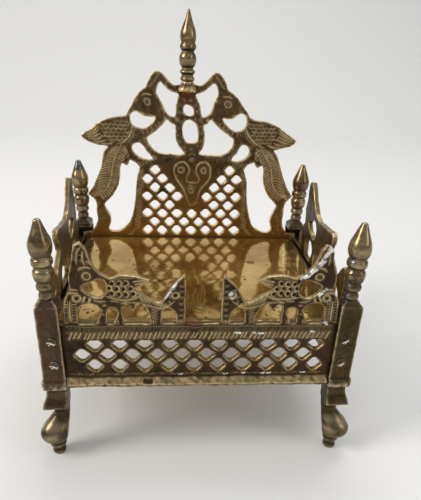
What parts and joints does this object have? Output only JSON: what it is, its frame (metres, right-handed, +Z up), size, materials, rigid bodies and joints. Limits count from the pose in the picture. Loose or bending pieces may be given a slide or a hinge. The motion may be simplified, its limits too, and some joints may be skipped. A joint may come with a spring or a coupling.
{
  "type": "deity throne",
  "caption": "Small cast brass throne for a household deity: polished seat between pierced peacock panels, curved legs, turned finials and a tall openwork back.",
  "frame": {"origin": "middle of the footprint, on the floor under the four feet", "axes": "+Z up, +X to the right as seen from the front, -Y towards the front, where the entry gap is"},
  "size_m": [0.1362, 0.1202, 0.1875],
  "materials": {
    "seat_brass": "polished sheet",
    "panel_brass": "cast, browned",
    "back_brass": "cast, browned",
    "post_brass": "cast, dark patina",
    "finial_brass": "turned and polished",
    "rivet_brass": "hammered"
  },
  "bodies": {
    "root": {"seat_plate": "seat_brass", "front_panel": "panel_brass", "back_panel": "back_brass", "right_side_panel": "panel_brass", "left_side_panel": "panel_brass", "front_left_post": "post_brass", "front_right_post": "post_brass", "rear_left_post": "post_brass", "rear_right_post": "post_brass", "front_left_finial": "finial_brass", "front_right_finial": "finial_brass", "rear_left_finial": "finial_brass", "rear_right_finial": "finial_brass", "crown_finial": "finial_brass", "front_left_lower_face_rivet": "rivet_brass", "front_left_lower_side_rivet": "rivet_brass", "front_left_upper_face_rivet": "rivet_brass", "front_left_upper_side_rivet": "rivet_brass", "front_right_lower_face_rivet": "rivet_brass", "front_right_lower_side_rivet": "rivet_brass", "front_right_upper_face_rivet": "rivet_brass", "front_right_upper_side_rivet": "rivet_brass", "rear_left_lower_face_rivet": "rivet_brass", "rear_left_lower_side_rivet": "rivet_brass", "rear_left_upper_face_rivet": "rivet_brass", "rear_left_upper_side_rivet": "rivet_brass", "rear_right_lower_face_rivet": "rivet_brass", "rear_right_lower_side_rivet": "rivet_brass", "rear_right_upper_face_rivet": "rivet_brass", "rear_right_upper_side_rivet": "rivet_brass"}
  },
  "joints": []
}
